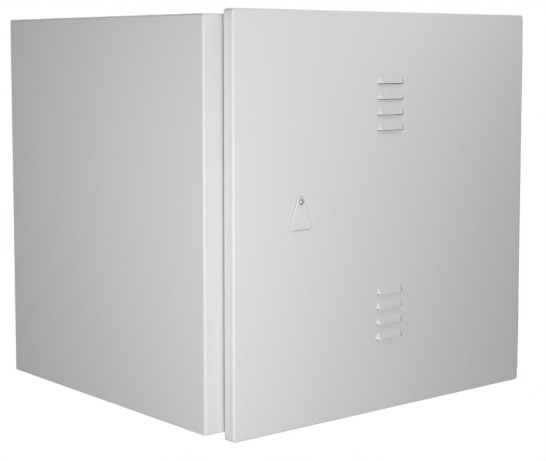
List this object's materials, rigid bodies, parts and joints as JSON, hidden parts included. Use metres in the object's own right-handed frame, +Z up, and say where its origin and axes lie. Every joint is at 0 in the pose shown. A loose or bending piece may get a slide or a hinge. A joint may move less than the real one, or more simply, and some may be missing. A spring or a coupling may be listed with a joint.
{
  "type": "roadside utility cabinet",
  "caption": "Light grey sheet steel wall cabinet for roadside equipment: overlapping hinged door with pressed louvres, key cover, geared rod lock and equipment rails.",
  "frame": {"origin": "centre of the four wall fixing holes, on the back face of the cabinet", "axes": "+X to the right seen from the front, +Y back into the wall, +Z up"},
  "size_m": [0.6, 0.5079, 0.5465],
  "materials": {
    "grey_powder_coat": "satin light grey powder coat with a fine orange peel",
    "zinc_plated_steel": "bright zinc plating",
    "plain_steel": "lightly oiled drawn steel",
    "cast_zinc": "dull cast metal",
    "plug_chrome": "turned and plated",
    "dark_rivet": "dark polished steel",
    "black_rubber": "matt black foam rubber"
  },
  "bodies": {
    "cabinet": {"body_wrapper": "grey_powder_coat", "floor_panel": "grey_powder_coat", "rear_panel": "grey_powder_coat", "fixing_doublers": "zinc_plated_steel", "seal_rim": "grey_powder_coat", "strike_plates": "zinc_plated_steel", "gland_plate": "zinc_plated_steel", "gland_screws": "zinc_plated_steel", "cable_grommet_left": "black_rubber", "cable_grommet_right": "black_rubber", "rail_bolts": "zinc_plated_steel", "rail_nuts": "zinc_plated_steel", "body_earth_stud": "zinc_plated_steel", "body_earth_washer": "zinc_plated_steel", "body_earth_nut": "zinc_plated_steel", "rail_front_left": "zinc_plated_steel", "rail_rear_left": "zinc_plated_steel", "rail_support_upper_left": "zinc_plated_steel", "rail_support_lower_left": "zinc_plated_steel", "rail_front_right": "zinc_plated_steel", "rail_rear_right": "zinc_plated_steel", "rail_support_upper_right": "zinc_plated_steel", "rail_support_lower_right": "zinc_plated_steel", "hinge_body_leaf_upper": "grey_powder_coat", "hinge_pin_upper": "plain_steel", "hinge_body_leaf_lower": "grey_powder_coat", "hinge_pin_lower": "plain_steel"},
    "door": {"door_panel": "grey_powder_coat", "door_gasket": "black_rubber", "vent_guard_upper": "zinc_plated_steel", "vent_guard_lower": "zinc_plated_steel", "door_studs": "zinc_plated_steel", "guard_nuts": "zinc_plated_steel", "lock_nuts": "zinc_plated_steel", "guide_nuts": "zinc_plated_steel", "door_earth_nut": "zinc_plated_steel", "lock_case": "cast_zinc", "lock_cover": "cast_zinc", "lock_cover_screws": "zinc_plated_steel", "rod_guide_upper": "zinc_plated_steel", "rod_guide_lower": "zinc_plated_steel", "key_cover_rivet": "dark_rivet", "door_stiffener_left": "grey_powder_coat", "door_stiffener_right": "grey_powder_coat", "hinge_door_leaf_upper": "grey_powder_coat", "hinge_door_leaf_lower": "grey_powder_coat"},
    "key_cover": {"key_cover": "grey_powder_coat"},
    "lock_plug": {"lock_plug": "plug_chrome", "drive_pinion": "plain_steel"},
    "lock_bolt": {"lock_bolt": "plain_steel"},
    "upper_rod": {"upper_rod": "plain_steel"},
    "lower_rod": {"lower_rod": "plain_steel"}
  },
  "joints": [
    {"name": "door_hinge", "type": "hinge", "parent": "cabinet", "child": "door", "pos_m": [0.2795, -0.4895, 0], "axis": [0, 0, 1], "range_deg": [0, 120]},
    {"name": "key_cover_swing", "type": "hinge", "parent": "door", "child": "key_cover", "pos_m": [-0.162, -0.5043, 0.0246], "axis": [0, 1, 0], "continuous": true},
    {"name": "lock_turn", "type": "hinge", "parent": "door", "child": "lock_plug", "pos_m": [-0.162, -0.49, 0], "axis": [0, 1, 0], "range_deg": [0, 90]},
    {"name": "bolt_slide", "type": "slide", "parent": "door", "child": "lock_bolt", "axis": [-1, 0, 0], "range_m": [0, 0.0189]},
    {"name": "upper_rod_slide", "type": "slide", "parent": "door", "child": "upper_rod", "axis": [0, 0, 1], "range_m": [0, 0.0188]},
    {"name": "lower_rod_slide", "type": "slide", "parent": "door", "child": "lower_rod", "axis": [0, 0, -1], "range_m": [0, 0.0189]}
  ],
  "couplings": [
    {"joint": "lock_turn", "follows": "upper_rod_slide", "rad_per_m": 83.333},
    {"joint": "lower_rod_slide", "follows": "upper_rod_slide", "ratio": 1},
    {"joint": "bolt_slide", "follows": "upper_rod_slide", "ratio": 1}
  ]
}
